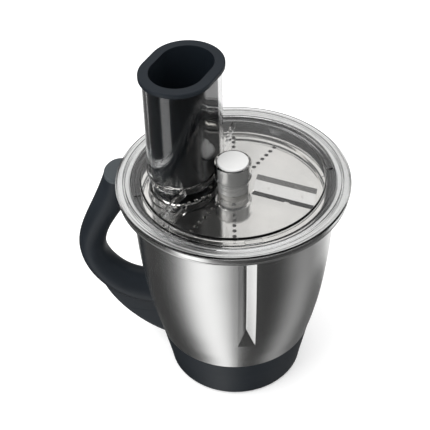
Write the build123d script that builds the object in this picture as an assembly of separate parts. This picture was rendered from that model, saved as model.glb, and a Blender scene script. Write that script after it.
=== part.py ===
"""Food-processor bowl with a slicing and grating disc, a clear lid with a feed chute and a pusher.

Millimetres, +Z up.  The origin is on the drive axis, in the plane the bowl stands on.
The handle points along HANDLE_AZIMUTH, and the front of the bowl is towards -Y.
"""
from build123d import *
from math import atan2, cos, degrees, hypot, radians, sin, sqrt
import os

# ---- driving dimensions ------------------------------------------------------------------
# bowl
SHEET = 1.2                 # steel sheet of the bowl
SKIRT_TOP_Z = 48.6          # line where the steel wall meets the plastic base
RIM_Z = 218.0               # shelf that the lid rests on
RIM_R = 103.0
HEM_R = 1.7                 # rolled lower edge of the rim
HEM_Z = 211.2
RIM_BEND = 2.5              # outer bend of the sheet from the shelf into the rim
FLOOR_Z = 33.5              # underside of the steel floor
FLOOR_CORNER_R = 10.0
JOGGLE_R = 69.0             # the wall steps in here so that the base sits flush
JOGGLE_LAP = 0.6
OVERLAP = 0.4               # how far fused bodies run into each other
WALL = [(72.1, 48.6), (77.5, 71.0), (83.05, 101.0), (87.7, 141.0), (90.3, 181.0), (91.7, 205.0)]

# V-shaped grooves pressed into the wall, mirrored about the handle's plane
HANDLE_AZIMUTH = 170.0
GROOVE_FROM_HANDLE = 107.0
GROOVE_DEPTH = 5.5
GROOVE_HALF = 8.0
GROOVE_TOP_Z = 201.0
GROOVE_CLOSE = 7.0          # height of the facet that closes the top of a groove
GROOVE_END_Z = 107.0        # full depth down to here
GROOVE_FOOT_Z = 86.0        # the sloped end facet meets the wall here
CUT_PAST = 4.0              # how far a cutting body runs past the surface that it cuts

# plastic base
BASE_WALL = 2.8
BASE_PROFILE = [(72.1, 48.4), (68.8, 31.0), (65.8, 16.0), (64.2, 7.0)]
BASE_FOOT_R = 62.4
BASE_BOTTOM_Z = 1.0
WEB_Z = 30.8                # underside of the inner web that the nut clamps
SOCKET_R = 24.0             # hole that locates the bowl over the motor drive
SOCKET_LENGTH = 4.6
SCREW_RING_R = 53.0
SCREW_COUNT = 4
BASE_SCREW = (3.0, 1.8, 1.5, 15.0)      # head radius and height, thread radius and length
BASE_SCREW_Z = 3.0
POST_R = 4.0
POST_BOTTOM_Z = 4.8
PLATE_Z, PLATE_TOP_Z = 2.0, 4.6
FOOT_RING_R = 41.5
FOOT_RING_HALF = 3.9
FOOT_RING_HEIGHT = 3.4

# drive line
SHAFT_R = 4.0
BEARING_R = 11.0
BEARING_WIDTH = 7.0
LOWER_BEARING_Z = 20.0
UPPER_BEARING_Z = 40.0
INNER_RACE_R = 5.8
OUTER_RACE_R = 9.4
HOUSING_R = 16.5
HOUSING_GAP = 0.3           # play between the housing and the hole in the steel floor
HOUSING_BOTTOM_Z = 18.6
HOUSING_TOP_Z = 53.0
HOUSING_COLLAR_R = 22.0
GASKET_SHEET = 1.0
NUT_R = 25.0
NUT_BOTTOM_Z = 23.4
SEAL_R = 8.0
SHAFT_SHOULDER_Z = 56.0     # the disc stem stands on this shoulder
HEX_FLATS = 10.0
SHAFT_TOP_Z = 80.0
COUPLING_Z = 7.0
COUPLING_HEIGHT = 11.0
COUPLING_R = 9.6
COUPLING_LOBES = 6
LOBE_R = 10.2               # middle of a lobe
LOBE_LENGTH, LOBE_WIDTH = 6.0, 5.4
PIN_R = 1.5
PIN_LENGTH = 19.0
CLIP_Z = 18.7
CLIP_R = 6.6
FIT = 0.06                  # radial running clearance of every turning or sliding fit

# disc and its stem
DISC_Z = 207.0              # top face
DISC_R = 77.0
DISC_RIM_R = 82.5
DISC_SHEET = 1.0
DISC_RIM_SHEET = 1.2        # stepped-up edge round the disc
STEM_TOP_Z = 239.2
STEM_R = 13.9
STEM_LOWER_R = 10.5
STEM_FOOT_R = 14.6
STEM_FOOT_Z, STEM_NECK_Z = 61.0, 70.0
STEM_BORE_R = 8.0
STEM_BORE_Z = 90.0
CAP_HEIGHT = 3.0
CAP_PLUG_DEPTH = 8.0
RINGS_Z = (212.0, 216.0, 220.0)     # shallow rings turned in the stem
RING_DEPTH, RING_WIDTH = 0.5, 0.8
HUB_R = 17.5
HUB_LOWER_R = 13.5
HUB_HEIGHT = 14.0
TOOTH_R = 2.0
TOOTH_WALL = 0.5
TOOTH_DEPTH = 0.9           # the grating teeth stand proud of the underside
TOOTH_PITCH = 6.8
TOOTH_FIRST_R = 23.6        # in every second row; the others start half a pitch nearer
TEETH_PER_ROW = 8
ROW_AZIMUTHS = (55.3, 89.0, 118.7, 148.4, 178.1, 207.8, 237.5, 270.4)
BLADE_AZIMUTH = -22.8
BLADE_RAISE = 1.2           # height of the blade's seat over the disc
BLADE_IN_R = 18.6           # ends of the cutting edge, along the blade from the drive axis
BLADE_OUT_R = 75.6
BLADE_LEAN = 0.2            # slant of both ends, per mm behind the cutting edge
BLADE_EDGE_Y = 0.5          # across the blade, behind the line through the axis
BLADE_GRIND_Y = 3.1
BLADE_BACK_Y = 15.6
BLADE_THICKNESS = 0.8
SEAT_SETBACK = 1.3          # seat behind the cutting edge
RAMP_BACK_Y = 25.0
SLOT_WIDTH = 4.6
TAB_AT_R = 51.6             # round tab on the slot's front edge
TAB_R = 2.6
RIVET_R = 1.5
RIVET_Y = 7.8
BLADE_RIVETS = (30.6, 61.9)

# lid
LID_TOP_Z = 222.1
LID_SHEET = 2.5
LID_PLATEAU_R = 81.4
LID_TROUGH_Z = 219.4
LID_FLANGE_IN_R = 91.2
LID_FLANGE_Z = 221.1
LID_R = 104.5
PLUG_R = 88.7               # wall that centres the lid in the bowl
PLUG_WALL = 1.9
PLUG_BOTTOM_Z = 211.0
GASKET_Z = 212.6            # groove round the plug for the seal
GASKET_HEIGHT = 2.8
GASKET_DEPTH = 0.9
DOME_BORE_R = STEM_R + 0.3
DOME_R = DOME_BORE_R + 2.1
DOME_TOP_Z = 237.6
RIBS = (((-12.0, 38.0), (1.6, 80.0)), ((-39.0, -12.0), (-63.0, -48.5)))   # plan ends of the two ribs
RIB_THICKNESS = 2.5
RIB_BOTTOM_Z = 213.0
LUG_AZIMUTHS = (11.0, 101.0, 191.0, 281.0)
LUG_R = 86.5
LUG_SIZE = (5.6, 15.0, 1.6)

# feed chute and pusher: stadium sections on one slanted long axis
CHUTE_X, CHUTE_Y = -41.9, 20.2
CHUTE_ANGLE = 62.1
CHUTE_STRAIGHT = 17.6
CHUTE_R = 30.0
CHUTE_WALL = 3.0
CHUTE_BEAD = 1.2            # bead where the chute stands on the lid
CHUTE_BOTTOM_Z = 213.0
CHUTE_TOP_Z = 321.0
PUSHER_GAP = 1.3
PUSHER_R = CHUTE_R - CHUTE_WALL - PUSHER_GAP
PUSHER_WALL = 1.8
PUSHER_FOOT_HEIGHT = 8.5
LIP_R = 33.0
LIP_HEIGHT = 4.0
LIP_ROUND = 1.2


# ---- helpers -----------------------------------------------------------------------------
def revolved(*points):
    """Solid of revolution about Z from straight-sided (radius, height) points."""
    return revolve(Plane.XZ * make_face(Polyline(*points, close=True)), Axis.Z)


def ring(inner_r, outer_r, low, high):
    return revolved((inner_r, low), (outer_r, low), (outer_r, high), (inner_r, high))


def disc(radius, low, high):
    return Pos(0, 0, low) * Cylinder(radius, high - low, align=(Align.CENTER, Align.CENTER, Align.MIN))


def prism(face, low, high):
    return Pos(0, 0, low) * extrude(face, high - low)


def spun(part, azimuth):
    return Rot(0, 0, azimuth) * part


def polar(radius, azimuth):
    return radius * cos(radians(azimuth)), radius * sin(radians(azimuth))


def wall_r(height):
    """Outer radius of the steel wall, read between its stations."""
    for (r0, z0), (r1, z1) in zip(WALL, WALL[1:]):
        if height <= z1:
            break
    return r0 + (r1 - r0) * (height - z0) / (z1 - z0)


# ---- bowl --------------------------------------------------------------------------------
def groove_section(height, extra):
    """V section, open outwards, with its apex inside the wall."""
    outer = wall_r(height) + CUT_PAST
    apex = wall_r(height) - GROOVE_DEPTH - extra
    half = (outer - apex) * GROOVE_HALF / GROOVE_DEPTH
    return Pos(0, 0, height) * make_face(Polyline((apex, 0), (outer, -half), (outer, half), close=True))


def groove(extra):
    """V groove of constant width, closed by a flat sloping facet at each end."""
    along = [z for r, z in WALL if z > GROOVE_FOOT_Z]
    stations = [GROOVE_FOOT_Z - CUT_PAST, *along, GROOVE_TOP_Z + GROOVE_CLOSE]
    body = loft([groove_section(z, extra) for z in stations], ruled=True)
    for full_z, end_z in ((GROOVE_END_Z, GROOVE_FOOT_Z), (GROOVE_TOP_Z, GROOVE_TOP_Z + GROOVE_CLOSE)):
        apex = (wall_r(full_z) - GROOVE_DEPTH - extra, full_z)
        foot = (wall_r(end_z) - extra, end_z)
        past = (foot[0] + 4 * (foot[0] - apex[0]), foot[1] + 4 * (foot[1] - apex[1]))
        inside_r = apex[0] / 2
        wedge = make_face(Polyline(apex, past, (inside_r, past[1]), (inside_r, full_z), close=True))
        body -= extrude(Plane.XZ * wedge, 5 * GROOVE_HALF, both=True)
    return body


def grooves(extra=0.0):
    azimuths = (HANDLE_AZIMUTH + GROOVE_FROM_HANDLE, HANDLE_AZIMUTH - GROOVE_FROM_HANDLE)
    return [spun(groove(extra), azimuth) for azimuth in azimuths]


def bowl_blank(inset):
    """The bowl as a full body, its surface set in by `inset`."""
    wall = [(r - inset, z) for r, z in WALL]
    corner = FLOOR_CORNER_R - inset
    floor = FLOOR_Z + inset
    side = JOGGLE_R - inset
    top_r = WALL[-1][0] - inset
    outline = (
        Line((0, floor), (side - corner, floor))
        + RadiusArc((side - corner, floor), (side, floor + corner), -corner)
        + Line((side, floor + corner), (side, SKIRT_TOP_Z - JOGGLE_LAP))
        + Line((side, SKIRT_TOP_Z - JOGGLE_LAP), wall[0])
        + Spline(*wall)
        + Polyline(wall[-1], (top_r, RIM_Z), (0, RIM_Z), (0, floor))
    )
    return revolve(Plane.XZ * make_face(outline), Axis.Z)


def bowl_shell():
    cavity = bowl_blank(SHEET)
    flank = sqrt(GROOVE_DEPTH ** 2 + GROOVE_HALF ** 2)
    for cut in grooves(SHEET * flank / GROOVE_HALF):
        cavity -= cut
    shell = bowl_blank(0)
    for cut in grooves():
        shell -= cut
    shell -= cavity
    shell -= disc(HOUSING_R + HOUSING_GAP, FLOOR_Z - 1, FLOOR_Z + SHEET + 1)
    shelf_in = WALL[-1][0] - SHEET / 2
    bend_r, bend_z = RIM_R - RIM_BEND, RIM_Z - RIM_BEND
    under = RIM_Z - SHEET
    inside = RIM_R - SHEET
    outline = (
        Polyline((shelf_in, under), (shelf_in, RIM_Z), (bend_r, RIM_Z))
        + RadiusArc((bend_r, RIM_Z), (RIM_R, bend_z), RIM_BEND)
        + Polyline((RIM_R, bend_z), (RIM_R, HEM_Z), (inside, HEM_Z), (inside, bend_z))
        + RadiusArc((inside, bend_z), (bend_r, under), SHEET - RIM_BEND)
        + Line((bend_r, under), (shelf_in, under))
    )
    rim = revolve(Plane.XZ * make_face(outline), Axis.Z)
    hem = Pos(0, 0, HEM_Z) * Torus(RIM_R - HEM_R + SHEET / 4, HEM_R)
    return shell + rim + hem


# ---- handle ------------------------------------------------------------------------------
# stations of the grip: distance from the drive axis, height, half thickness, half width
GRIP = [
    (105.5, 213.0, 12.0, 16.5),
    (108.5, 196.0, 14.8, 16.5),
    (117.5, 176.0, 14.0, 16.0),
    (126.5, 158.0, 13.0, 15.2),
    (133.5, 141.0, 12.7, 14.6),
    (137.0, 122.5, 12.8, 14.5),
    (133.5, 105.0, 13.6, 14.8),
    (121.5, 87.5, 15.0, 15.4),
    (104.5, 76.5, 16.2, 16.0),
    (84.0, 72.5, 17.0, 16.5),
    (68.0, 71.0, 17.4, 16.6),
]
GRIP_ARM = [(86, 212), (108, 212), (112, 190), (86, 172)]   # web between the grip and the wall
GRIP_ARM_HALF = 12.0
THUMB_Z = 216.6
THUMB_HEIGHT = 4.0
THUMB_OVERHANG = (1.4, 0.5)
THUMB_ROUND = 2.2
RIM_CLEARANCE = 0.35        # between the handle and the rim that it closes on

# welded tab: centre radius, centre height, depth, height
STRAP_TAB = (96.4, 199.0, 9.0, 3.0)
STRAP_PLATE = (100.4, 196.0, 2.0, 15.0)
STRAP_WIDTH = 12.0

# outer edge of the bracket under the grip, from the grip down to the plastic base
BRACKET_EDGE = [(131.0, 82.0), (122.5, 62.0), (108.5, 43.5), (92.0, 29.0), (76.0, 19.5), (62.0, 14.5)]
BRACKET_HALF = 11.5
BRACKET_ROUND = 8.0
HANDLE_SCREW_AT = (84.0, 96.0)
HANDLE_SCREW_Z = 37.4
HANDLE_SCREW = (2.6, 2.0, 1.6, 18.0)    # head radius and height, thread radius and length


def handle_frame(part):
    """Turn a body drawn in the XZ plane towards +X into the handle's direction."""
    return spun(part, HANDLE_AZIMUTH)


def bowl_envelope():
    """Everything inside the bowl's outer surface and rim, which handle pieces stay out of."""
    return bowl_blank(0) + disc(RIM_R + RIM_CLEARANCE, HEM_Z - 2, THUMB_Z + 4)


def grip_body():
    sections = []
    for i, (r, z, thick, wide) in enumerate(GRIP):
        before = GRIP[max(i - 1, 0)]
        after = GRIP[min(i + 1, len(GRIP) - 1)]
        run, rise = after[0] - before[0], after[1] - before[1]
        length = sqrt(run * run + rise * rise)
        along = (run / length, 0, rise / length)
        across = (-rise / length, 0, run / length)
        sections.append(Plane(origin=(r, 0, z), x_dir=across, z_dir=along) * Ellipse(thick, wide))
    return loft(sections)


def bracket():
    """Fin that carries the foot of the grip; it is split at the top of the plastic base."""
    start, end = BRACKET_EDGE[0], BRACKET_EDGE[-1]
    outline = Spline(*BRACKET_EDGE) + Polyline(end, (end[0], start[1]), start)
    body = extrude(Plane.XZ * make_face(outline), BRACKET_HALF, both=True)
    outer_edges = body.edges().filter_by(lambda e: abs(e.center().Y) > BRACKET_HALF - 0.1 and e.length > 90)
    return fillet(outer_edges, BRACKET_ROUND)


def slab(low, high):
    """Everything between two heights."""
    return Pos(0, 0, (low + high) / 2) * Box(400, 400, high - low)


def handle_grip():
    arm = extrude(Plane.XZ * make_face(Polyline(*GRIP_ARM, close=True)), GRIP_ARM_HALF, both=True)
    body = grip_body() + arm + bracket()
    body = handle_frame(body) - bowl_envelope()
    body -= handle_strap()
    for piece in handle_screws():
        body -= piece
    return body & slab(SKIRT_TOP_Z, THUMB_Z - THUMB_HEIGHT)


def thumb_rest():
    """Cap that closes the top of the grip."""
    centre_r, _, thick, wide = GRIP[0]
    plan = Pos(centre_r - 1.0, 0, 0) * Ellipse(thick + THUMB_OVERHANG[0], wide + THUMB_OVERHANG[1])
    cap = prism(plan, THUMB_Z - THUMB_HEIGHT, THUMB_Z)
    cap = fillet(cap.faces().sort_by(Axis.Z)[-1].edges(), THUMB_ROUND)
    return handle_frame(cap) - bowl_envelope()


def handle_strap():
    """Welded steel tab that carries the top of the handle."""
    strap = []
    for radius, height, depth, tall in (STRAP_TAB, STRAP_PLATE):
        strap.append(Pos(radius, 0, height) * Box(depth, STRAP_WIDTH, tall))
    return handle_frame(strap[0] + strap[1]) - bowl_blank(0)


def screw(head_r, head_height, thread_r, length):
    """Pan-head screw pointing up, its seat at height zero, with a cross recess."""
    body = disc(head_r, -head_height, 0) + disc(thread_r, 0, length)
    bar = Box(head_r * 1.1, head_height / 2, head_height)
    return body - Pos(0, 0, -head_height) * (bar + Rot(0, 0, 90) * bar)


def handle_screws():
    """Screws that join the skirt's bracket to the foot of the grip."""
    return [handle_frame(Pos(r, 0, HANDLE_SCREW_Z) * screw(*HANDLE_SCREW)) for r in HANDLE_SCREW_AT]


# ---- plastic base ------------------------------------------------------------------------
def base_skirt():
    outer = BASE_PROFILE + [(BASE_FOOT_R + 1.2, 3.0), (BASE_FOOT_R, BASE_BOTTOM_Z)]
    inner = [(BASE_FOOT_R - BASE_WALL + 1.0, BASE_BOTTOM_Z)]
    inner += [(r - BASE_WALL, z) for r, z in reversed(BASE_PROFILE[1:])]
    inner += [(JOGGLE_R + 0.2, 44.0), (JOGGLE_R + 0.2, BASE_PROFILE[0][1])]
    body = revolved(*outer, *inner)
    body += handle_frame(bracket() & slab(0, SKIRT_TOP_Z - 0.2)) - disc(JOGGLE_R - 6, 0, 60)
    body += ring(HOUSING_R + 0.5, BASE_PROFILE[1][0] - 1, WEB_Z, FLOOR_Z - 0.1)
    for azimuth in screw_azimuths():
        at = Pos(*polar(SCREW_RING_R, azimuth), 0)
        rib = Box(2 * POST_R, POST_R / 2, WEB_Z - 2 * POST_R)
        body += at * disc(POST_R, POST_BOTTOM_Z, WEB_Z + 1)
        body += spun(Pos(SCREW_RING_R + POST_R + 1, 0, WEB_Z / 2 + POST_R) * rib, azimuth)
        body -= at * disc(BASE_SCREW[2] + 0.1, POST_R, BASE_SCREW_Z + BASE_SCREW[3] + 2)
    for radius, piece in zip(HANDLE_SCREW_AT, handle_screws()):
        well = disc(HANDLE_SCREW[0] + 0.6, 10.0, HANDLE_SCREW_Z)
        body -= piece
        body -= handle_frame(Pos(radius, 0, 0) * well)
    return body - bowl_blank(0)


def screw_azimuths():
    return [HANDLE_AZIMUTH + 45 + i * 360 / SCREW_COUNT for i in range(SCREW_COUNT)]


def base_plate():
    groove_half = FOOT_RING_HALF + 0.1
    body = ring(SOCKET_R, BASE_FOOT_R - 4.4, PLATE_Z, PLATE_TOP_Z)
    body += ring(SOCKET_R, SOCKET_R + 2.4, 0.0, SOCKET_LENGTH)
    body -= ring(FOOT_RING_R - groove_half, FOOT_RING_R + groove_half, 1.0, FOOT_RING_HEIGHT)
    body += ring(FOOT_RING_R - 6.0, FOOT_RING_R + 6.0, FOOT_RING_HEIGHT, PLATE_TOP_Z + 1.2)
    for azimuth in screw_azimuths():
        at = Pos(*polar(SCREW_RING_R, azimuth), 0)
        body -= at * disc(BASE_SCREW[2] + FIT + 0.34, 0, 8)
        body -= at * disc(BASE_SCREW[0] + 0.4, 0, BASE_SCREW_Z)
    return body


def base_screws():
    places = [polar(SCREW_RING_R, azimuth) for azimuth in screw_azimuths()]
    return [Pos(x, y, BASE_SCREW_Z) * screw(*BASE_SCREW) for x, y in places]


def foot_ring():
    body = ring(FOOT_RING_R - FOOT_RING_HALF, FOOT_RING_R + FOOT_RING_HALF, 0.0, FOOT_RING_HEIGHT)
    return body - ring(FOOT_RING_R - 0.8, FOOT_RING_R + 0.8, -1.0, 0.8)


# ---- drive line --------------------------------------------------------------------------
def bearing_housing():
    seat = FLOOR_Z + SHEET + GASKET_SHEET
    body = revolved(
        (0, HOUSING_BOTTOM_Z), (HOUSING_R, HOUSING_BOTTOM_Z), (HOUSING_R, seat),
        (HOUSING_COLLAR_R, seat), (HOUSING_COLLAR_R, seat + 2.4), (15.6, seat + 5.4),
        (13.4, HOUSING_TOP_Z), (0, HOUSING_TOP_Z),
    )
    body -= disc(BEARING_R, HOUSING_BOTTOM_Z - 1, UPPER_BEARING_Z + BEARING_WIDTH)
    body -= disc(SEAL_R, UPPER_BEARING_Z, HOUSING_TOP_Z + 1)
    return body


def housing_gasket():
    return ring(HOUSING_R, HOUSING_COLLAR_R - 0.5, FLOOR_Z + SHEET, FLOOR_Z + SHEET + GASKET_SHEET)


def housing_nut():
    nut = prism(RegularPolygon(NUT_R, 8), NUT_BOTTOM_Z, WEB_Z)
    return nut - disc(HOUSING_R, NUT_BOTTOM_Z - 1, WEB_Z + 1)


def ball_bearing(low):
    high = low + BEARING_WIDTH
    inner_race = ring(SHAFT_R, INNER_RACE_R, low, high)
    outer_race = ring(OUTER_RACE_R, BEARING_R, low, high)
    shield = ring(INNER_RACE_R, OUTER_RACE_R, low + 0.5, high - 0.5)
    return inner_race + outer_race + shield


def bearing_spacer():
    return ring(SHAFT_R + 0.1, INNER_RACE_R - 0.2, LOWER_BEARING_Z + BEARING_WIDTH, UPPER_BEARING_Z)


def shaft_seal():
    low = UPPER_BEARING_Z + BEARING_WIDTH + 0.3
    body = ring(SHAFT_R + 0.05, SEAL_R, low, HOUSING_TOP_Z - 0.4)
    return body - ring(SHAFT_R + 1.2, SEAL_R - 1.0, low + 2.7, HOUSING_TOP_Z)


def hexagon(flats):
    return RegularPolygon(flats / sqrt(3), 6)


def drive_shaft():
    body = disc(SHAFT_R - FIT / 2, COUPLING_Z + 1.0, SHAFT_SHOULDER_Z)
    body += disc(CLIP_R, HOUSING_TOP_Z + 0.6, SHAFT_SHOULDER_Z)
    drive = prism(hexagon(HEX_FLATS), SHAFT_SHOULDER_Z, SHAFT_TOP_Z)
    drive = chamfer(drive.faces().sort_by(Axis.Z)[-1].edges(), 0.8)
    return body + drive - pin_bar(2 * PIN_LENGTH)


def drive_coupling():
    """Lobed driver on the lower end of the shaft."""
    body = disc(COUPLING_R, COUPLING_Z, COUPLING_Z + COUPLING_HEIGHT)
    lobe = Box(LOBE_LENGTH, LOBE_WIDTH, COUPLING_HEIGHT - 2.0)
    lobe = Pos(LOBE_R, 0, COUPLING_Z + COUPLING_HEIGHT / 2) * lobe
    for i in range(COUPLING_LOBES):
        body += spun(lobe, i * 360 / COUPLING_LOBES)
    body -= disc(SHAFT_R, 0, COUPLING_Z + COUPLING_HEIGHT + 1)
    return body - pin_bar(2 * PIN_LENGTH)


def pin_bar(length):
    """Cross pin through shaft and coupling."""
    return Pos(0, 0, COUPLING_Z + COUPLING_HEIGHT / 2) * Rot(0, 90, 0) * Cylinder(PIN_R, length)


def coupling_pin():
    return pin_bar(PIN_LENGTH)


def retaining_ring():
    clip = ring(SHAFT_R, CLIP_R, CLIP_Z, CLIP_Z + 1.0)
    return clip - Pos(SHAFT_R + PIN_R, 0, CLIP_Z + 0.5) * Box(5, 2.4, 3)


# ---- disc and stem -----------------------------------------------------------------------
def disc_stem():
    collar = DISC_Z + 0.2
    body = disc(STEM_R, collar, STEM_TOP_Z - CAP_HEIGHT)
    for height in RINGS_Z:
        body -= ring(STEM_R - RING_DEPTH, STEM_R + 1, height, height + RING_WIDTH)
    body += disc(STEM_LOWER_R, SHAFT_SHOULDER_Z, collar)
    body += revolved(
        (0, SHAFT_SHOULDER_Z), (STEM_FOOT_R, SHAFT_SHOULDER_Z), (STEM_FOOT_R, STEM_FOOT_Z),
        (STEM_LOWER_R, STEM_NECK_Z), (0, STEM_NECK_Z),
    )
    socket = prism(hexagon(HEX_FLATS + 2 * FIT), SHAFT_SHOULDER_Z - 1, SHAFT_TOP_Z + 1)
    return body - socket - disc(STEM_BORE_R, STEM_BORE_Z, STEM_TOP_Z)


def stem_cap():
    low = STEM_TOP_Z - CAP_HEIGHT
    cap = disc(STEM_R, low, STEM_TOP_Z)
    cap = fillet(cap.edges().sort_by(Axis.Z)[-1], 0.9)
    return cap + disc(STEM_BORE_R - 0.1, low - CAP_PLUG_DEPTH, low)


def disc_hub():
    """Plastic boss under the disc, keyed to the stem."""
    top = DISC_Z - DISC_SHEET
    body = revolved(
        (0, top - HUB_HEIGHT), (HUB_LOWER_R, top - HUB_HEIGHT), (HUB_R, top - 4), (HUB_R, top), (0, top),
    )
    return body - disc(STEM_LOWER_R, top - HUB_HEIGHT - 1, top + 1)


def tooth(azimuth, radius):
    """Grating tooth: a lip of a small dome pressed down at one side of its hole."""
    x, y = polar(radius, azimuth)
    outer_r = TOOTH_R + TOOTH_WALL
    centre = DISC_Z - DISC_SHEET - TOOTH_DEPTH + outer_r
    dome = Sphere(outer_r) - Sphere(TOOTH_R)
    dome -= Pos(0, 5 - TOOTH_R / 2, 0) * Box(10, 10, 10)
    dome -= Pos(0, 0, 5 + DISC_Z - DISC_SHEET / 3 - centre) * Box(10, 10, 10)
    return Pos(x, y, centre) * Rot(0, 0, azimuth) * dome


def tooth_places():
    rows = []
    for row, azimuth in enumerate(ROW_AZIMUTHS):
        first = TOOTH_FIRST_R - (TOOTH_PITCH / 2 if row % 2 == 0 else 0)
        rows += [(azimuth, first + i * TOOTH_PITCH) for i in range(TEETH_PER_ROW)]
    return rows


def blade_frame(part):
    """Local X runs out along the blade; local Y points behind its cutting edge."""
    return spun(part, BLADE_AZIMUTH)


def blade_bar(section):
    """Bar of a (y, z) section along the blade, with both ends slanted."""
    bar = extrude(Plane.YZ * make_face(Polyline(*section, close=True)), DISC_RIM_R)
    depth = 2 * RAMP_BACK_Y
    back_in, back_out = (end - BLADE_LEAN * depth for end in (BLADE_IN_R, BLADE_OUT_R))
    plan = Polyline((BLADE_IN_R, 0), (BLADE_OUT_R, 0), (back_out, depth), (back_in, depth), close=True)
    return bar & prism(make_face(plan), DISC_Z - 5, DISC_Z + 5)


def slicing_disc():
    low = DISC_Z - DISC_SHEET
    step_r = DISC_R + DISC_RIM_SHEET
    rim_top = low + 2 * DISC_RIM_SHEET
    sheet = revolved(
        (STEM_LOWER_R, low), (step_r, low), (step_r, rim_top - DISC_RIM_SHEET),
        (DISC_RIM_R, rim_top - DISC_RIM_SHEET), (DISC_RIM_R, rim_top), (DISC_R, rim_top),
        (DISC_R, DISC_Z), (STEM_LOWER_R, DISC_Z),
    )
    holes = [Pos(*polar(r, azimuth), DISC_Z) * Cylinder(TOOTH_R, 6) for azimuth, r in tooth_places()]
    sheet = sheet - holes
    sheet = sheet + [tooth(azimuth, r) for azimuth, r in tooth_places()]
    slot_back = BLADE_EDGE_Y + SEAT_SETBACK
    slot_front = slot_back - SLOT_WIDTH
    slot = Pos((BLADE_IN_R + BLADE_OUT_R) / 2, slot_back - SLOT_WIDTH / 2, DISC_Z)
    slot = slot * Box(BLADE_OUT_R - BLADE_IN_R, SLOT_WIDTH, 6)
    tab = Pos(TAB_AT_R, slot_front, DISC_Z - DISC_SHEET / 2) * Cylinder(TAB_R, DISC_SHEET)
    sheet = sheet - blade_frame(slot) + blade_frame(tab)
    seat_z = DISC_Z + BLADE_RAISE
    fall = (seat_z - DISC_Z) / (RAMP_BACK_Y - BLADE_BACK_Y)
    under = DISC_SHEET / 2
    seat = blade_bar([
        (slot_back, DISC_Z - under), (slot_back, seat_z), (BLADE_BACK_Y, seat_z),
        (RAMP_BACK_Y + under / fall, DISC_Z - under),
    ])
    return sheet + blade_frame(seat)


def slicing_blade():
    """Flat blade riveted on the raised seat, ground from below to an edge along the slot."""
    low = DISC_Z + BLADE_RAISE
    top = low + BLADE_THICKNESS
    blade = blade_bar([(BLADE_EDGE_Y, top), (BLADE_BACK_Y, top), (BLADE_BACK_Y, low), (BLADE_GRIND_Y, low)])
    for x in BLADE_RIVETS:
        blade -= Pos(x, RIVET_Y, low) * Cylinder(RIVET_R, 4 * BLADE_THICKNESS)
    return blade_frame(blade)


def blade_rivets():
    low = DISC_Z + BLADE_RAISE
    rivet = disc(RIVET_R, low, low + BLADE_THICKNESS + 0.15)
    return [blade_frame(Pos(x, RIVET_Y, 0) * rivet) for x in BLADE_RIVETS]


# ---- lid ---------------------------------------------------------------------------------
def stadium(radius):
    """Chute section on its own axes, turned and placed."""
    section = SlotCenterToCenter(CHUTE_STRAIGHT, 2 * radius)
    return Pos(CHUTE_X, CHUTE_Y, 0) * Rot(0, 0, CHUTE_ANGLE) * section


def lid_cover():
    low = LID_TOP_Z - LID_SHEET
    trough_low = LID_TROUGH_Z - 2.0
    plug_in = PLUG_R - PLUG_WALL
    body = revolved(
        (0, low), (LID_PLATEAU_R + 0.4, low), (LID_PLATEAU_R + 1.6, trough_low),
        (plug_in, trough_low), (plug_in, PLUG_BOTTOM_Z), (PLUG_R, PLUG_BOTTOM_Z), (PLUG_R, RIM_Z),
        (LID_R, RIM_Z), (LID_R, RIM_Z + 0.8), (LID_R - 1.0, RIM_Z + 2.0),
        (LID_R - 3.4, LID_FLANGE_Z - 0.2), (LID_FLANGE_IN_R, LID_FLANGE_Z),
        (LID_FLANGE_IN_R - 1.0, LID_TROUGH_Z), (LID_PLATEAU_R + 1.4, LID_TROUGH_Z),
        (LID_PLATEAU_R, LID_TOP_Z), (0, LID_TOP_Z),
    )
    body -= ring(PLUG_R - GASKET_DEPTH, PLUG_R + 1, GASKET_Z, GASKET_Z + GASKET_HEIGHT)
    body += disc(DOME_R, low, DOME_TOP_Z)
    for (x0, y0), (x1, y1) in RIBS:
        rib = Box(hypot(x1 - x0, y1 - y0), RIB_THICKNESS, low + OVERLAP - RIB_BOTTOM_Z)
        middle = Pos((x0 + x1) / 2, (y0 + y1) / 2, (low + OVERLAP + RIB_BOTTOM_Z) / 2)
        body += middle * Rot(0, 0, degrees(atan2(y1 - y0, x1 - x0))) * rib
    for azimuth in LUG_AZIMUTHS:
        body += spun(Pos(LUG_R, 0, LID_TROUGH_Z + 0.6) * Box(*LUG_SIZE), azimuth)
    body -= disc(DOME_BORE_R, PLUG_BOTTOM_Z, DOME_TOP_Z + 1)
    return body - prism(stadium(CHUTE_R), PLUG_BOTTOM_Z, LID_TOP_Z + 1)


def lid_gasket():
    body = ring(PLUG_R - GASKET_DEPTH, PLUG_R + 1.5, GASKET_Z, GASKET_Z + GASKET_HEIGHT)
    return body - ring(PLUG_R + 0.5, PLUG_R + 2, GASKET_Z + 1.0, GASKET_Z + 1.8)


def feed_chute():
    body = prism(stadium(CHUTE_R), CHUTE_BOTTOM_Z, CHUTE_TOP_Z)
    body += prism(stadium(CHUTE_R + CHUTE_BEAD), LID_TOP_Z, LID_TOP_Z + CHUTE_BEAD)
    body -= prism(stadium(CHUTE_R - CHUTE_WALL), CHUTE_BOTTOM_Z - 1, CHUTE_TOP_Z + 1)
    return body - disc(DOME_R + 0.1, LID_TOP_Z - 1, DOME_TOP_Z)


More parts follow.
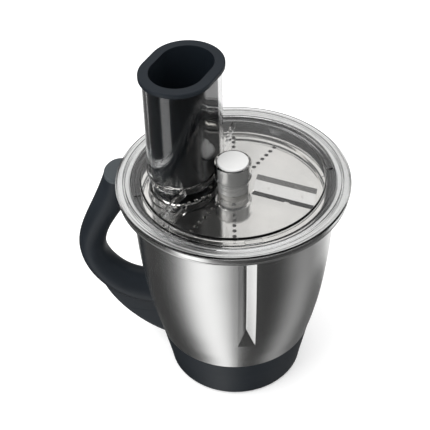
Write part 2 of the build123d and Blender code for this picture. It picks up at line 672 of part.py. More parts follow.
# ---- pusher ------------------------------------------------------------------------------
def pusher_body():
    low = CHUTE_BOTTOM_Z + PUSHER_FOOT_HEIGHT
    body = prism(stadium(PUSHER_R), low, CHUTE_TOP_Z + 1)
    lip = prism(stadium(LIP_R), CHUTE_TOP_Z, CHUTE_TOP_Z + LIP_HEIGHT)
    lip = fillet(lip.faces().sort_by(Axis.Z)[-1].edges(), LIP_ROUND)
    cavity = prism(stadium(PUSHER_R - PUSHER_WALL), low + PUSHER_WALL, CHUTE_TOP_Z + LIP_HEIGHT + 1)
    return body + lip - cavity


def pusher_foot():
    body = prism(stadium(PUSHER_R), CHUTE_BOTTOM_Z, CHUTE_BOTTOM_Z + PUSHER_FOOT_HEIGHT)
    body = chamfer(body.faces().sort_by(Axis.Z)[0].edges(), 0.8)
    return body - prism(stadium(PUSHER_R - 3.0), CHUTE_BOTTOM_Z - 1, CHUTE_BOTTOM_Z + 1.5)


# ---- write every node --------------------------------------------------------------------
NODES = {
    "bowl_shell": bowl_shell,
    "handle_grip": handle_grip,
    "thumb_rest": thumb_rest,
    "handle_strap": handle_strap,
    "handle_screws": handle_screws,
    "base_skirt": base_skirt,
    "base_plate": base_plate,
    "base_screws": base_screws,
    "foot_ring": foot_ring,
    "bearing_housing": bearing_housing,
    "housing_gasket": housing_gasket,
    "housing_nut": housing_nut,
    "lower_bearing": lambda: ball_bearing(LOWER_BEARING_Z),
    "upper_bearing": lambda: ball_bearing(UPPER_BEARING_Z),
    "bearing_spacer": bearing_spacer,
    "shaft_seal": shaft_seal,
    "drive_shaft": drive_shaft,
    "drive_coupling": drive_coupling,
    "coupling_pin": coupling_pin,
    "retaining_ring": retaining_ring,
    "disc_stem": disc_stem,
    "stem_cap": stem_cap,
    "disc_hub": disc_hub,
    "slicing_disc": slicing_disc,
    "slicing_blade": slicing_blade,
    "blade_rivets": blade_rivets,
    "lid_cover": lid_cover,
    "lid_gasket": lid_gasket,
    "feed_chute": feed_chute,
    "pusher_body": pusher_body,
    "pusher_foot": pusher_foot,
}


def main():
    os.makedirs("parts", exist_ok=True)
    for name, make in NODES.items():
        made = make()
        solids = made if isinstance(made, list) else [made]
        shape = Compound(children=[s for piece in solids for s in piece.solids()])
        export_step(shape, f"parts/{name}.step")
        print(name, len(shape.solids()))


main()
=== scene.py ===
"""Looks for the food-processor bowl: materials, finer pieces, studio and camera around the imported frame.

Metres, +Z up, drive axis on Z, front of the bowl towards -Y.
"""
from math import asin, cos, pi, radians, sin, tan

import bmesh
import bpy
from mathutils import Matrix, Vector

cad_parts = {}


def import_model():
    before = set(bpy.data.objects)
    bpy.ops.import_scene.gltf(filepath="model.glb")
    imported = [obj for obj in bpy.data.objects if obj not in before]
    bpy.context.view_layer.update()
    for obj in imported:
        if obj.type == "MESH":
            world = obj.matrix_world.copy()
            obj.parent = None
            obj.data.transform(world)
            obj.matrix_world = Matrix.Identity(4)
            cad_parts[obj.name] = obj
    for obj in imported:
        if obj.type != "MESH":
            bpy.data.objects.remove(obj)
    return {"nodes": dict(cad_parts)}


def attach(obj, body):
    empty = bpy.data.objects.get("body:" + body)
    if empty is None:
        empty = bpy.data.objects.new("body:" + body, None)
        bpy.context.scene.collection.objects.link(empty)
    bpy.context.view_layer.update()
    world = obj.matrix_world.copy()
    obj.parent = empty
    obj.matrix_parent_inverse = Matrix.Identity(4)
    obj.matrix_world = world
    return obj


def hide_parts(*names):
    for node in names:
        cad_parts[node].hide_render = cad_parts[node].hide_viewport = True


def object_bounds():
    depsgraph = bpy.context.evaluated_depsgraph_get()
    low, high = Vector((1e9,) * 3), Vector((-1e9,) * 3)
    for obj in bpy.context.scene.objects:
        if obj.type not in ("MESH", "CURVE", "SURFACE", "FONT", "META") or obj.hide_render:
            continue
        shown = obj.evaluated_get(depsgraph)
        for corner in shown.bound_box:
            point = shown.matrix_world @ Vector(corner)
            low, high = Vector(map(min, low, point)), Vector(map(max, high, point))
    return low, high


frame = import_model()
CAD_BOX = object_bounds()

SCENE = bpy.context.scene
NODES = frame["nodes"]
MM = 0.001

# ---- dimensions shared with the CAD, in millimetres ---------------------------------------
SHEET = 1.2
SKIRT_TOP_Z = 48.6
RIM_Z = 218.0
RIM_R = 103.0
HEM_R = 1.7
HEM_Z = 211.2
RIM_BEND = 2.5                       # outer bend of the sheet from the shelf into the rim
FLOOR_Z = 33.5
FLOOR_CORNER_R = 10.0
HUB_HOLE_R = 17.0                    # hole in the steel floor for the bearing housing
JOGGLE_R = 69.0
WALL = [(72.1, 48.6), (77.5, 71.0), (83.05, 101.0), (87.7, 141.0), (90.3, 181.0), (91.7, 205.0)]
HANDLE_AZIMUTH = 170.0
GROOVE_FROM_HANDLE = 107.0
GROOVE_DEPTH = 5.5
GROOVE_HALF = 8.0
GROOVE_TOP_Z = 201.0
GROOVE_CLOSE = 7.0
GROOVE_END_Z = 107.0
GROOVE_FOOT_Z = 86.0
SHARP_ANGLE = radians(24)            # edges above this angle stay creased

LID_TOP_Z = 222.1
LID_SHEET = 2.5
PLATEAU_R = 81.4
TROUGH_Z = 219.4
FLANGE_IN_R = 91.2
FLANGE_Z = 221.1
FLANGE_GROOVE = (96.2, 97.4)         # shallow ring moulded in the top of the flange
FLANGE_GROOVE_Z = 220.5
LID_R = 104.5
PLUG_R = 88.7
PLUG_WALL = 1.9
PLUG_BOTTOM_Z = 211.0
SEAL_Z, SEAL_TOP_Z, SEAL_DEPTH = 212.6, 215.4, 0.9
DOME_BORE_R = 14.2
DOME_WALL = 2.1
DOME_TOP_Z = 237.6
RIBS = (((-12.0, 38.0), (1.6, 80.0)), ((-39.0, -12.0), (-63.0, -48.5)))
RIB_THICKNESS = 2.5
RIB_BOTTOM_Z = 213.0
LUG_AZIMUTHS = (11.0, 101.0, 191.0, 281.0)
LUG_R = (83.7, 89.3)
LUG_HALF = 7.5
CHUTE_PLACE = (-41.9, 20.2)
CHUTE_ANGLE = radians(62.1)
CHUTE_STRAIGHT = 17.6
CHUTE_R = 30.0
CHUTE_WALL = 3.0
CHUTE_BEAD = 1.2
CHUTE_BOTTOM_Z = 213.0
CHUTE_TOP_Z = 321.0
GAP = 0.05                           # air between clear plastic and what it rests on


# ---- mesh helpers ---------------------------------------------------------------------------
def finish_mesh(name, verts, faces, material, body, replaces=(), sharp=SHARP_ANGLE):
    """A smooth-shaded piece from points in millimetres, creased where faces meet above an angle."""
    mesh = bpy.data.meshes.new(name)
    mesh.from_pydata([Vector(v) * MM for v in verts], [], faces)
    piece = bpy.data.objects.new(name, mesh)
    SCENE.collection.objects.link(piece)
    tidy_mesh(piece, sharp)
    dress(piece, material, body, replaces)
    return piece


def tidy_mesh(piece, sharp=SHARP_ANGLE):
    mesh = piece.data
    bm = bmesh.new()
    bm.from_mesh(mesh)
    bmesh.ops.remove_doubles(bm, verts=bm.verts, dist=1e-7)
    bmesh.ops.recalc_face_normals(bm, faces=bm.faces)
    for face in bm.faces:
        face.smooth = True
    for edge in bm.edges:
        edge.smooth = not (len(edge.link_faces) == 2 and edge.calc_face_angle(0) > sharp)
    bm.to_mesh(mesh)
    bm.free()


def dress(piece, material, body, replaces=()):
    piece.data.materials.clear()
    piece.data.materials.append(material)
    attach(piece, body)
    if replaces:
        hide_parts(*replaces)


def wall_r(height):
    """Outer radius of the steel wall: a smooth curve through its stations."""
    spots = WALL
    if height >= spots[-1][1]:
        return spots[-1][0]
    if height <= spots[0][1]:
        return spots[0][0]
    slopes = []
    for i in range(len(spots)):
        a, b = spots[max(i - 1, 0)], spots[min(i + 1, len(spots) - 1)]
        slopes.append((b[0] - a[0]) / (b[1] - a[1]))
    i = max(k for k in range(len(spots) - 1) if spots[k][1] <= height)
    (r0, z0), (r1, z1) = spots[i], spots[i + 1]
    h = z1 - z0
    t = (height - z0) / h
    return (
        (2 * t ** 3 - 3 * t ** 2 + 1) * r0 + (t ** 3 - 2 * t ** 2 + t) * h * slopes[i]
        + (-2 * t ** 3 + 3 * t ** 2) * r1 + (t ** 3 - t ** 2) * h * slopes[i + 1]
    )


def arc(centre, radius, start, end, steps):
    """Points on an arc in the (radius, height) plane, angles in degrees."""
    turns = [radians(start + (end - start) * i / steps) for i in range(steps + 1)]
    return [(centre[0] + radius * cos(a), centre[1] + radius * sin(a)) for a in turns]


def rounded(points, radii, steps=6):
    """A closed outline whose corners are rounded; radii match the points, 0 keeps a corner."""
    outline = []
    count = len(points)
    for i, (corner, radius) in enumerate(zip(points, radii)):
        here = Vector(corner)
        if radius <= 0:
            outline.append(tuple(here))
            continue
        to_last = (Vector(points[i - 1]) - here).normalized()
        to_next = (Vector(points[(i + 1) % count]) - here).normalized()
        half = to_last.angle(to_next) / 2
        reach = radius / tan(half)
        centre = here + (to_last + to_next).normalized() * (radius / sin(half))
        first, last = here + to_last * reach, here + to_next * reach
        a, b = first - centre, last - centre
        sweep = a.angle_signed(b)
        for k in range(steps + 1):
            turn = -sweep * k / steps
            outline.append((
                centre.x + a.x * cos(turn) - a.y * sin(turn),
                centre.y + a.x * sin(turn) + a.y * cos(turn),
            ))
    return outline


def lathe(outline, segments=192):
    """Vertices and faces of a closed (radius, height) outline turned about Z."""
    verts = [
        (r * cos(2 * pi * s / segments), r * sin(2 * pi * s / segments), z)
        for s in range(segments) for r, z in outline
    ]
    n = len(outline)
    faces = []
    for s in range(segments):
        t = (s + 1) % segments
        for k in range(n):
            m = (k + 1) % n
            faces.append((s * n + k, t * n + k, t * n + m, s * n + m))
    return verts, faces


# ---- materials ------------------------------------------------------------------------------
class Nodes:
    """Small helper that adds and links shader nodes."""

    def __init__(self, name):
        self.material = bpy.data.materials.new(name)
        self.material.use_nodes = True
        self.tree = self.material.node_tree
        self.shader = self.tree.nodes["Principled BSDF"]

    def add(self, kind, **inputs):
        node = self.tree.nodes.new("ShaderNode" + kind)
        for key, value in inputs.items():
            if hasattr(value, "is_output"):
                self.tree.links.new(value, node.inputs[key])
            elif key in node.inputs:
                node.inputs[key].default_value = value
            else:
                setattr(node, key, value)
        return node

    def set(self, **values):
        for key, value in values.items():
            self.shader.inputs[key.replace("_", " ")].default_value = value

    def link(self, output, name):
        self.tree.links.new(output, self.shader.inputs[name])

    def place(self, scale=(1, 1, 1)):
        """Object coordinates stretched by a scale per metre."""
        where = self.add("TexCoord")
        mapping = self.add("Mapping", Vector=where.outputs["Object"])
        mapping.inputs["Scale"].default_value = scale
        return mapping.outputs["Vector"]

    def noise(self, vector, scale, detail=3.0, roughness=0.5):
        node = self.add("TexNoise", Vector=vector, Scale=scale, Detail=detail, Roughness=roughness)
        return node.outputs["Fac"]

    def spread(self, value, low, high, start=0.3, end=0.7):
        """Maps a noise value onto a range."""
        node = self.add("MapRange", Value=value)
        node.inputs["From Min"].default_value = start
        node.inputs["From Max"].default_value = end
        node.inputs["To Min"].default_value = low
        node.inputs["To Max"].default_value = high
        return node.outputs["Result"]

    def tint(self, value, dark, light):
        ramp = self.add("ValToRGB", Fac=value)
        ramp.color_ramp.elements[0].position, ramp.color_ramp.elements[1].position = 0.3, 0.7
        ramp.color_ramp.elements[0].color = (*dark, 1)
        ramp.color_ramp.elements[1].color = (*light, 1)
        return ramp.outputs["Color"]

    def bump(self, height, distance, strength=1.0, normal=None):
        node = self.add("Bump", Height=height, Distance=distance, Strength=strength)
        if normal is not None:
            self.tree.links.new(normal, node.inputs["Normal"])
        return node.outputs["Normal"]


def brushed_steel(name, dark, light, rough, across=(7.0, 7.0, 2600.0), anisotropy=0.0, bump=0.0000008):
    """Steel with fine brushing that runs round Z."""
    m = Nodes(name)
    streak = m.noise(m.place(across), 1.0, 4.0, 0.7)
    m.link(m.tint(streak, dark, light), "Base Color")
    m.link(m.spread(streak, rough - 0.03, rough + 0.04), "Roughness")
    m.link(m.bump(streak, bump, 0.6), "Normal")
    m.set(Metallic=1.0)
    if anisotropy:
        tangent = m.add("Tangent", direction_type="RADIAL", axis="Z")
        m.link(tangent.outputs["Tangent"], "Tangent")
        m.set(Anisotropic=anisotropy)
    return m.material


def turned_steel(name, dark, light, rough, rings=900.0, bump=0.000002):
    """Steel with concentric turning marks about Z."""
    m = Nodes(name)
    where = m.add("TexCoord")
    apart = m.add("SeparateXYZ", Vector=where.outputs["Object"])
    flat = m.add("CombineXYZ", X=apart.outputs["X"], Y=apart.outputs["Y"])
    length = m.add("VectorMath", operation="LENGTH")
    m.tree.links.new(flat.outputs[0], length.inputs[0])
    radius = m.add("CombineXYZ", X=length.outputs["Value"], Z=apart.outputs["Z"])
    ringed = m.noise(radius.outputs[0], rings, 3.0, 0.6)
    cloud = m.noise(m.place(), 35.0, 3.0)
    m.link(m.tint(cloud, dark, light), "Base Color")
    m.link(m.spread(ringed, rough * 0.75, rough * 1.3), "Roughness")
    m.link(m.bump(ringed, bump, 0.5), "Normal")
    m.set(Metallic=1.0)
    return m.material


def plastic(name, dark, light, rough, grain=0.0, grain_scale=1600.0, coat=0.0, ior=1.46):
    """Moulded plastic: faint mottling, roughness wander and an optional fine spark grain."""
    m = Nodes(name)
    cloud = m.noise(m.place(), 26.0, 4.0, 0.6)
    fine = m.noise(m.place(), grain_scale, 2.0)
    m.link(m.tint(cloud, dark, light), "Base Color")
    m.link(m.spread(cloud, rough - 0.04, rough + 0.05), "Roughness")
    if grain:
        m.link(m.bump(fine, grain, 0.5), "Normal")
    m.set(IOR=ior, Coat_Weight=coat, Coat_Roughness=0.12)
    return m.material


def clear_plastic(name):
    m = Nodes(name)
    cloud = m.noise(m.place(), 30.0, 2.0)
    haze = m.noise(m.place((1.0, 1.0, 1.0)), 420.0, 3.0)
    m.link(m.tint(cloud, (0.985, 0.99, 0.99), (1.0, 1.0, 1.0)), "Base Color")
    m.link(m.spread(haze, 0.0, 0.02, 0.45, 0.8), "Roughness")
    m.link(m.bump(cloud, 0.0004, 0.12), "Normal")
    m.set(Transmission_Weight=1.0, IOR=1.49)
    return m.material


def rubber(name, dark, light):
    return plastic(name, dark, light, 0.62, grain=0.00003, grain_scale=900.0)


BOWL_STEEL = brushed_steel(
    "bowl_brushed_steel", (0.83, 0.83, 0.825), (0.88, 0.88, 0.87), 0.22, anisotropy=0.3,
)
DISC_STEEL = turned_steel("disc_polished_steel", (0.76, 0.745, 0.72), (0.84, 0.82, 0.79), 0.07)
BLADE_STEEL = brushed_steel(
    "blade_ground_steel", (0.8, 0.79, 0.77), (0.88, 0.87, 0.85), 0.1, across=(1500.0, 60.0, 60.0),
)
PART_STEEL = turned_steel("turned_part_steel", (0.5, 0.5, 0.5), (0.6, 0.6, 0.6), 0.25)
SCREW_STEEL = turned_steel("plated_screw_steel", (0.42, 0.42, 0.42), (0.52, 0.52, 0.52), 0.3)
ALUMINIUM = turned_steel("turned_aluminium", (0.66, 0.67, 0.68), (0.74, 0.75, 0.76), 0.32)
DARK_PLASTIC = plastic(
    "dark_slate_plastic", (0.0095, 0.0135, 0.0185), (0.013, 0.018, 0.0245), 0.46, grain=0.000012, ior=1.38,
)
GREY_PLASTIC = plastic("grey_plastic", (0.05, 0.06, 0.066), (0.06, 0.07, 0.077), 0.4, grain=0.00001)
WHITE_PLASTIC = plastic("white_gloss_plastic", (0.8, 0.8, 0.79), (0.86, 0.86, 0.85), 0.16, coat=0.4)
CLEAR_PLASTIC = clear_plastic("clear_moulded_plastic")
SEAL_RUBBER = rubber("seal_rubber", (0.05, 0.05, 0.05), (0.075, 0.075, 0.075))
FOOT_RUBBER = rubber("foot_rubber", (0.012, 0.012, 0.012), (0.02, 0.02, 0.02))

BY_SLOT = {
    "brushed_bowl": BOWL_STEEL, "polished_steel": DISC_STEEL, "steel_part": PART_STEEL,
    "screw_steel": SCREW_STEEL, "spacer_aluminium": ALUMINIUM, "dark_plastic": DARK_PLASTIC,
    "grey_plastic": GREY_PLASTIC, "white_plastic": WHITE_PLASTIC, "clear_plastic": CLEAR_PLASTIC,
    "seal_rubber": SEAL_RUBBER, "foot_rubber": FOOT_RUBBER,
}


# ---- bowl -----------------------------------------------------------------------------------
GROOVES = [HANDLE_AZIMUTH + GROOVE_FROM_HANDLE, HANDLE_AZIMUTH - GROOVE_FROM_HANDLE]
FLANK_STEPS = 8                      # columns on each flank of a groove
FLANK_MARGIN = 12.0
AROUND = 132                         # columns between the grooves, over the whole turn
SHELF_BEND = 1.4                     # bend from the wall out to the shelf, on the outside
SHELF_MIDDLE_R = 96.0
FLOOR_MIDDLE_R = 40.0
COLUMNS_IN_R = 60.0                  # nearer the axis the columns keep the spacing they have here
HEM_TURN = (83, 395, 22)             # rolled edge: start and end angle, steps
JOGGLE_LAP = 0.8
RIM_ROWS_Z = [211.0, 214.0]
FACET_ANGLE = radians(9)


def column_angles(radius):
    """Azimuth of every mesh column at one radius; columns keep their place across a groove."""
    offsets = [GROOVE_HALF * k / FLANK_STEPS for k in range(-FLANK_STEPS, FLANK_STEPS + 1)]
    offsets = [-FLANK_MARGIN] + offsets + [FLANK_MARGIN]
    angles, across = [], []
    order = sorted(g % 360 for g in GROOVES)
    for i, middle in enumerate(order):
        for w in offsets:
            angles.append(radians(middle) + asin(w / radius))
            across.append(w)
        start = radians(middle) + asin(FLANK_MARGIN / radius)
        after = order[(i + 1) % len(order)] + (360 if i + 1 == len(order) else 0)
        stop = radians(after) - asin(FLANK_MARGIN / radius)
        steps = round(AROUND * (after - middle) / 360)
        for k in range(1, steps):
            angles.append(start + (stop - start) * k / steps)
            across.append(None)
    return angles, across


def groove_depth(w, height):
    if w is None or abs(w) >= GROOVE_HALF:
        return 0.0
    flank = GROOVE_DEPTH * (1 - abs(w) / GROOVE_HALF)
    foot = GROOVE_DEPTH * (height - GROOVE_FOOT_Z) / (GROOVE_END_Z - GROOVE_FOOT_Z)
    top = GROOVE_DEPTH * (GROOVE_TOP_Z + GROOVE_CLOSE - height) / GROOVE_CLOSE
    return max(0.0, min(flank, foot, top))


def spaced(start, end, steps):
    """Even steps from start, without the end."""
    return [start + (end - start) * k / steps for k in range(steps)]


def wall_heights():
    """Rows of the wall: the groove's end facets cross the mesh on its own points."""
    closed = GROOVE_TOP_Z + GROOVE_CLOSE
    low = spaced(SKIRT_TOP_Z, GROOVE_FOOT_Z, 16)
    foot = spaced(GROOVE_FOOT_Z, GROOVE_END_Z, FLANK_STEPS)
    middle = spaced(GROOVE_END_Z, GROOVE_TOP_Z, 30)
    top = spaced(GROOVE_TOP_Z, closed, FLANK_STEPS)
    return low + foot + middle + top + [closed] + RIM_ROWS_Z


def bowl():
    """Steel bowl as one closed sheet: rows go up the outside, over the rim and down the inside."""
    rows = []

    def plain(points):
        rows.extend((r, z, False) for r, z in points)

    heights = wall_heights()
    top_r = WALL[-1][0]
    under = RIM_Z - SHEET
    corner = (JOGGLE_R - FLOOR_CORNER_R, FLOOR_Z + FLOOR_CORNER_R)
    bend = (RIM_R - RIM_BEND, RIM_Z - RIM_BEND)
    inner_bend = SHELF_BEND + SHEET
    plain([(HUB_HOLE_R, FLOOR_Z), (FLOOR_MIDDLE_R, FLOOR_Z)])
    plain(arc(corner, FLOOR_CORNER_R, -90, 0, 8))
    plain([(JOGGLE_R, SKIRT_TOP_Z - JOGGLE_LAP)])
    rows += [(wall_r(z), z, True) for z in heights]
    plain(arc((top_r + SHELF_BEND, under - SHELF_BEND), SHELF_BEND, 180, 90, 5))
    plain([(SHELF_MIDDLE_R, under)])
    plain(arc(bend, RIM_BEND - SHEET, 90, 0, 5))
    plain(arc((RIM_R - HEM_R + SHEET / 4, HEM_Z), HEM_R, *HEM_TURN))
    plain(arc(bend, RIM_BEND, 0, 90, 8))
    plain([(SHELF_MIDDLE_R, RIM_Z)])
    plain(arc((top_r + SHELF_BEND, RIM_Z - inner_bend), inner_bend, 90, 180, 7))
    rows += [(wall_r(z) - SHEET, z, True) for z in reversed(heights)]
    plain([(JOGGLE_R - SHEET, SKIRT_TOP_Z - JOGGLE_LAP - 0.2)])
    plain(arc(corner, FLOOR_CORNER_R - SHEET, 0, -90, 8))
    plain([(FLOOR_MIDDLE_R, FLOOR_Z + SHEET), (HUB_HOLE_R, FLOOR_Z + SHEET)])
    verts = []
    for r, z, grooved in rows:
        angles, across = column_angles(max(r, COLUMNS_IN_R))
        for angle, w in zip(angles, across):
            here = r - (groove_depth(w, z) if grooved else 0)
            verts.append((here * cos(angle), here * sin(angle), z))
    columns = len(verts) // len(rows)
    angles, across = column_angles(WALL[-1][0])
    faces = []
    for i in range(len(rows)):
        j = (i + 1) % len(rows)
        for k in range(columns):
            m = (k + 1) % columns
            a, b, c, d = i * columns + k, i * columns + m, j * columns + m, j * columns + k
            w = across[k]
            inside_groove = rows[i][2] and rows[j][2] and w is not None and -GROOVE_HALF <= w < GROOVE_HALF
            if inside_groove:
                middle = (rows[i][1] + rows[j][1]) / 2
                rising = (w < 0) == (middle < (GROOVE_END_Z + GROOVE_TOP_Z) / 2)
                if rows[i][1] > rows[j][1]:
                    rising = not rising
                faces += [(a, b, c), (a, c, d)] if rising else [(a, b, d), (b, c, d)]
            else:
                faces.append((a, b, c, d))
    finish_mesh("bowl_steel", verts, faces, BOWL_STEEL, "bowl", ["bowl_shell"], FACET_ANGLE)


# ---- lid ------------------------------------------------------------------------------------
def loft(name, sections):
    """A closed body through sections of equal point counts, each (points, height)."""
    count = len(sections[0][0])
    verts = [(x, y, z) for points, z in sections for x, y in points]
    faces = [tuple(reversed(range(count)))]
    for i in range(len(sections) - 1):
        a, b = i * count, (i + 1) * count
        faces += [(a + k, a + (k + 1) % count, b + (k + 1) % count, b + k) for k in range(count)]
    faces.append(tuple(range((len(sections) - 1) * count, len(sections) * count)))
    return rough_body(name, verts, faces)


def rough_body(name, verts, faces):
    mesh = bpy.data.meshes.new(name)
    mesh.from_pydata([Vector(v) * MM for v in verts], [], faces)
    bm = bmesh.new()
    bm.from_mesh(mesh)
    bmesh.ops.recalc_face_normals(bm, faces=bm.faces)
    bm.to_mesh(mesh)
    bm.free()
    item = bpy.data.objects.new(name, mesh)
    SCENE.collection.objects.link(item)
    return item


def stadium(radius, steps=36):
    """Outline of the chute's section, placed in plan."""
    half = CHUTE_STRAIGHT / 2
    points = [(half + radius * cos(a), radius * sin(a)) for a in turns(-90, 90, steps)]
    points += [(-half + radius * cos(a), radius * sin(a)) for a in turns(90, 270, steps)]
    return [in_chute(*p) for p in points]


def turns(start, end, steps):
    return [radians(start + (end - start) * i / steps) for i in range(steps + 1)]


def in_chute(u, v):
    c, s = cos(CHUTE_ANGLE), sin(CHUTE_ANGLE)
    return CHUTE_PLACE[0] + u * c - v * s, CHUTE_PLACE[1] + u * s + v * c


def bar(start, end, thickness):
    """Plan of a straight bar between two points."""
    side = (end - start).normalized().orthogonal() * thickness / 2
    return [tuple(p) for p in (start - side, end - side, end + side, start + side)]


def combine(body, tool, operation):
    """Boolean of two bodies; the tool is used up."""
    modifier = body.modifiers.new("cut", "BOOLEAN")
    modifier.object = tool
    modifier.operation = operation
    modifier.solver = "EXACT"
    graph = bpy.context.evaluated_depsgraph_get()
    made = bpy.data.meshes.new_from_object(body.evaluated_get(graph))
    body.modifiers.clear()
    old, body.data = body.data, made
    bpy.data.meshes.remove(old)
    bpy.data.objects.remove(tool)


def lid():
    """Cover, dome tube, ribs and feed chute: one clear moulding."""
    low = LID_TOP_Z - LID_SHEET
    dome_r = DOME_BORE_R + DOME_WALL
    seat = RIM_Z + GAP
    groove_in, groove_out = FLANGE_GROOVE
    seal_r = PLUG_R - SEAL_DEPTH
    plug_in = PLUG_R - PLUG_WALL
    corners = [                      # radius, height, rounding
        (DOME_BORE_R, low, 0.3), (DOME_BORE_R, DOME_TOP_Z, 0.3),
        (dome_r, DOME_TOP_Z, 0.5), (dome_r, LID_TOP_Z, 0.3),
        (PLATEAU_R, LID_TOP_Z, 0.7), (PLATEAU_R + 1.4, TROUGH_Z, 0.6),
        (FLANGE_IN_R - 1.0, TROUGH_Z, 0.6), (FLANGE_IN_R, FLANGE_Z + 0.1, 0.5),
        (groove_in - 0.6, FLANGE_Z, 0.3), (groove_in, FLANGE_GROOVE_Z, 0.2),
        (groove_out, FLANGE_GROOVE_Z, 0.2), (groove_out + 0.6, FLANGE_Z - 0.1, 0.3),
        (LID_R - 3.1, FLANGE_Z - 0.2, 0.8), (LID_R - 1.1, FLANGE_Z - 0.9, 1.0),
        (LID_R, FLANGE_Z - 2.1, 0.5), (LID_R, seat, 0.3), (PLUG_R, seat, 0.3),
        (PLUG_R, SEAL_TOP_Z, 0), (seal_r, SEAL_TOP_Z, 0), (seal_r, SEAL_Z, 0), (PLUG_R, SEAL_Z, 0),
        (PLUG_R, PLUG_BOTTOM_Z, 0.4), (plug_in, PLUG_BOTTOM_Z, 0.4), (plug_in, TROUGH_Z - 2, 0.5),
        (PLATEAU_R + 1.6, TROUGH_Z - 2, 0.4), (PLATEAU_R + 0.4, low, 0.5),
    ]
    outline = rounded([c[:2] for c in corners], [c[2] for c in corners], 5)
    body = rough_body("lid_clear", *lathe(outline))
    for start, end in RIBS:
        plan = bar(Vector(start), Vector(end), RIB_THICKNESS)
        combine(body, loft("rib", [(plan, RIB_BOTTOM_Z), (plan, low + 0.6)]), "UNION")
    for azimuth in LUG_AZIMUTHS:
        spoke = Vector((cos(radians(azimuth)), sin(radians(azimuth))))
        plan = bar(spoke * LUG_R[0], spoke * LUG_R[1], 2 * LUG_HALF)
        combine(body, loft("lug", [(plan, TROUGH_Z - 0.4), (plan, TROUGH_Z + 1.4)]), "UNION")
    outer = [                        # radius, height
        (CHUTE_R - 0.5, CHUTE_BOTTOM_Z), (CHUTE_R, CHUTE_BOTTOM_Z + 0.5),
        (CHUTE_R, LID_TOP_Z - 0.3), (CHUTE_R + CHUTE_BEAD, LID_TOP_Z - 0.2),
        (CHUTE_R + CHUTE_BEAD * 0.4, LID_TOP_Z + CHUTE_BEAD * 0.4), (CHUTE_R, LID_TOP_Z + CHUTE_BEAD),
        (CHUTE_R, CHUTE_TOP_Z - 0.5), (CHUTE_R - 0.3, CHUTE_TOP_Z - GAP),
    ]
    combine(body, loft("chute", [(stadium(radius), z) for radius, z in outer]), "UNION")
    bore = stadium(CHUTE_R - CHUTE_WALL)
    combine(body, loft("bore", [(bore, PLUG_BOTTOM_Z), (bore, CHUTE_TOP_Z + 1)]), "DIFFERENCE")
    stem_hole = [(DOME_BORE_R * cos(a), DOME_BORE_R * sin(a)) for a in turns(0, 360, 192)[:-1]]
    cutter = loft("stem_hole", [(stem_hole, PLUG_BOTTOM_Z), (stem_hole, DOME_TOP_Z + 1)])
    combine(body, cutter, "DIFFERENCE")
    tidy_mesh(body)
    weigh_normals(body)
    dress(body, CLEAR_PLASTIC, "lid", ["lid_cover", "feed_chute"])


def weigh_normals(piece):
    """Large flat faces keep their own normals beside small rounded ones."""
    modifier = piece.modifiers.new("normals", "WEIGHTED_NORMAL")
    modifier.keep_sharp = True
    modifier.weight = 100


# ---- studio ---------------------------------------------------------------------------------
CAMERA_AIM = (-0.016983, -0.000372, 0.175670)
CAMERA_DISTANCE = 1.0912
CAMERA_AZIMUTH = 1.2554
CAMERA_PITCH = 41.79
CAMERA_ROLL = -1.73
CAMERA_LENS = 100.465
SENSOR = 36.0

# brightness of the studio round the horizon: degrees from the camera's side, positive towards +X, and
# level. The low bands light the tapered steel wall, the side bands the upright chute and handle.
LOW_BANDS = [
    (-180, 0.26), (-162, 0.09), (-140, 0.04), (-105, 0.04), (-84, 0.12), (-69, 0.42), (-53, 0.95),
    (-37, 1.1), (-23, 1.03), (-9, 0.65), (2, 0.19), (15, 0.07), (42, 0.03), (63, 0.05), (80, 0.24),
    (96, 0.38), (110, 0.23), (125, 0.1), (150, 0.12), (180, 0.26),
]
SIDE_BANDS = [
    (-180, 0.95), (-162, 0.95), (-157, 0.1), (-60, 0.04), (-55, 1.3), (-29, 1.3), (-24, 0.04),
    (0, 0.04), (100, 0.06), (112, 0.9), (180, 0.95),
]


def camera():
    data = bpy.data.cameras.new("photo_camera")
    data.sensor_width = SENSOR
    data.lens = CAMERA_LENS
    data.clip_start, data.clip_end = 0.05, 50.0
    item = bpy.data.objects.new("photo_camera", data)
    SCENE.collection.objects.link(item)
    azimuth, pitch = radians(CAMERA_AZIMUTH), radians(CAMERA_PITCH)
    forward = Vector((-sin(azimuth) * cos(pitch), cos(azimuth) * cos(pitch), -sin(pitch)))
    turn = forward.to_track_quat("-Z", "Y").to_matrix() @ Matrix.Rotation(radians(CAMERA_ROLL), 3, "Z")
    item.matrix_world = Matrix.Translation(Vector(CAMERA_AIM) - forward * CAMERA_DISTANCE) @ turn.to_4x4()
    SCENE.camera = item


# softboxes above: azimuth and half width, elevation and half height, soft edge (degrees), level
SOFTBOXES = [
    (196, 16, 49, 16, 2, 1.0),         # behind, left of the axis: the bright part of the disc
    (158, 22, 51, 18, 2, 0.88),        # behind, right of the axis
    (-80, 34, 34, 26, 14, 1.1),        # left side
    (80, 16, 30, 16, 10, 0.45),        # right side
    (0, 180, 86, 12, 8, 1.2),          # overhead
]
UPPER_LEVEL = 0.16
LOW_FADE = (-47.5, -43.5)              # the low bands give way to the side bands between these elevations
SIDE_FADE = (-20.0, -8.0)              # and those to the part above
DIFFUSE_LEVEL = 1.0
BACKDROP_LEVEL = 0.98
FLOOR_GLOW = 0.3
FLOOR_HALF = 4.0
FLOOR_DROP = 0.0002                    # the floor lies this far under the foot
KEY_PLACE, KEY_AIM = (-0.7, -0.4, 1.5), (0.0, 0.0, 0.15)
KEY_SIZE = 1.2
KEY_POWER = 12.0


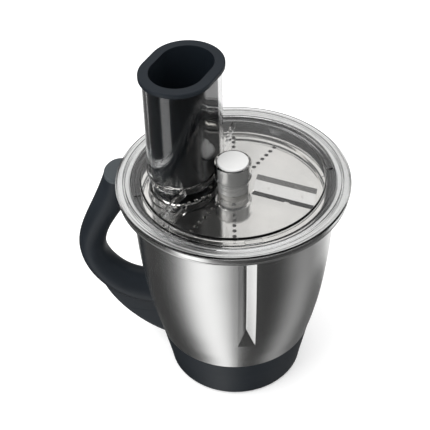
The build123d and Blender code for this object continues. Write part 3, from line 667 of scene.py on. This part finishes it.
def world():
    """Soft studio. Matt surfaces see an even dome, gloss sees softboxes and soft upright bands."""
    made = bpy.data.worlds.new("studio")
    SCENE.world = made
    made.use_nodes = True
    made.cycles.sampling_method = "NONE"
    tree = made.node_tree
    tree.nodes.clear()

    def add(kind, **inputs):
        node = tree.nodes.new("ShaderNode" + kind)
        for key, value in inputs.items():
            if hasattr(value, "is_output"):
                tree.links.new(value, node.inputs[key])
            elif key in node.inputs:
                node.inputs[key].default_value = value
            else:
                setattr(node, key, value)
        return node

    def math(operation, *values):
        node = add("Math", operation=operation)
        for socket, value in zip(node.inputs, values):
            if hasattr(value, "is_output"):
                tree.links.new(value, socket)
            else:
                socket.default_value = value
        return node.outputs[0]

    def smooth(value, start, end):
        """0 before start and 1 after end."""
        node = add("MapRange", Value=value, interpolation_type="SMOOTHSTEP")
        node.inputs["From Min"].default_value = start
        node.inputs["From Max"].default_value = end
        return node.outputs[0]

    def mix(factor, first, second):
        kept = math("MULTIPLY", first, math("SUBTRACT", 1.0, factor))
        return math("ADD", kept, math("MULTIPLY", second, factor))

    apart = add("SeparateXYZ", Vector=add("TexCoord").outputs["Generated"])
    x, y, z = (apart.outputs[i] for i in range(3))
    azimuth = math("DEGREES", math("ARCTAN2", x, math("MULTIPLY", y, -1.0)))
    elevation = math("DEGREES", math("ARCSINE", z))

    def bands(stops, interpolation):
        """Level that changes with azimuth alone."""
        peak = max(level for spot, level in stops)
        ramp = add("ValToRGB", Fac=math("ADD", math("DIVIDE", azimuth, 360.0), 0.5))
        elements = ramp.color_ramp.elements
        elements.remove(elements[1])
        for i, (spot, level) in enumerate(stops):
            element = elements[0] if i == 0 else elements.new((spot + 180) / 360)
            element.position = (spot + 180) / 360
            element.color = (level / peak, level / peak, level / peak, 1)
        ramp.color_ramp.interpolation = interpolation
        return math("MULTIPLY", ramp.outputs["Color"], peak)

    upper = UPPER_LEVEL
    for middle, half, height, half_height, edge, level in SOFTBOXES:
        above_by = math("ABSOLUTE", math("SUBTRACT", elevation, height))
        box = math("SUBTRACT", 1.0, smooth(above_by, half_height - edge, half_height + edge))
        if half < 180:
            apart_by = math("ABSOLUTE", math("WRAP", math("SUBTRACT", azimuth, middle), 180.0, -180.0))
            across = math("SUBTRACT", 1.0, smooth(apart_by, half - edge, half + edge))
            box = math("MULTIPLY", box, across)
        upper = mix(box, upper, level)
    lower = mix(smooth(elevation, *LOW_FADE), bands(LOW_BANDS, "B_SPLINE"), bands(SIDE_BANDS, "LINEAR"))
    gloss = mix(smooth(elevation, *SIDE_FADE), lower, upper)
    path = add("LightPath")
    level = mix(path.outputs["Is Diffuse Ray"], gloss, DIFFUSE_LEVEL)
    level = mix(path.outputs["Is Camera Ray"], level, BACKDROP_LEVEL)
    background = add("Background", Strength=level)
    background.inputs["Color"].default_value = (1, 1, 1, 1)
    tree.links.new(background.outputs[0], add("OutputWorld").inputs["Surface"])


def key_softbox():
    """Large soft light over the camera's left side; gloss sees the studio's own softboxes instead."""
    data = bpy.data.lights.new("key_softbox", "AREA")
    data.size = KEY_SIZE
    data.energy = KEY_POWER
    item = bpy.data.objects.new("key_softbox", data)
    SCENE.collection.objects.link(item)
    item.location = KEY_PLACE
    item.rotation_mode = "QUATERNION"
    item.rotation_quaternion = (Vector(KEY_AIM) - Vector(KEY_PLACE)).to_track_quat("-Z", "Y")
    item.visible_glossy = False


def floor():
    m = Nodes("pale_floor")
    cloud = m.noise(m.place(), 3.0, 2.0)
    m.link(m.tint(cloud, (0.955, 0.955, 0.955), (0.965, 0.965, 0.965)), "Base Color")
    m.set(Roughness=0.9, Emission_Color=(1, 1, 1, 1), Emission_Strength=FLOOR_GLOW)
    bm = bmesh.new()
    bmesh.ops.create_grid(bm, x_segments=4, y_segments=4, size=FLOOR_HALF)
    mesh = bpy.data.meshes.new("floor")
    bm.to_mesh(mesh)
    bm.free()
    mesh.materials.append(m.material)
    item = bpy.data.objects.new("floor", mesh)
    SCENE.collection.objects.link(item)
    item.location.z = CAD_BOX[0].z - FLOOR_DROP
    item.visible_glossy = False
    item.visible_transmission = False


# ---- build ----------------------------------------------------------------------------------
camera()
world()
floor()
key_softbox()

for item in NODES.values():
    for place in item.material_slots:
        place.material = next(made for key, made in BY_SLOT.items() if key in place.material.name)
NODES["slicing_blade"].material_slots[0].material = BLADE_STEEL

bowl()
lid()

SCENE.view_settings.view_transform = "Standard"
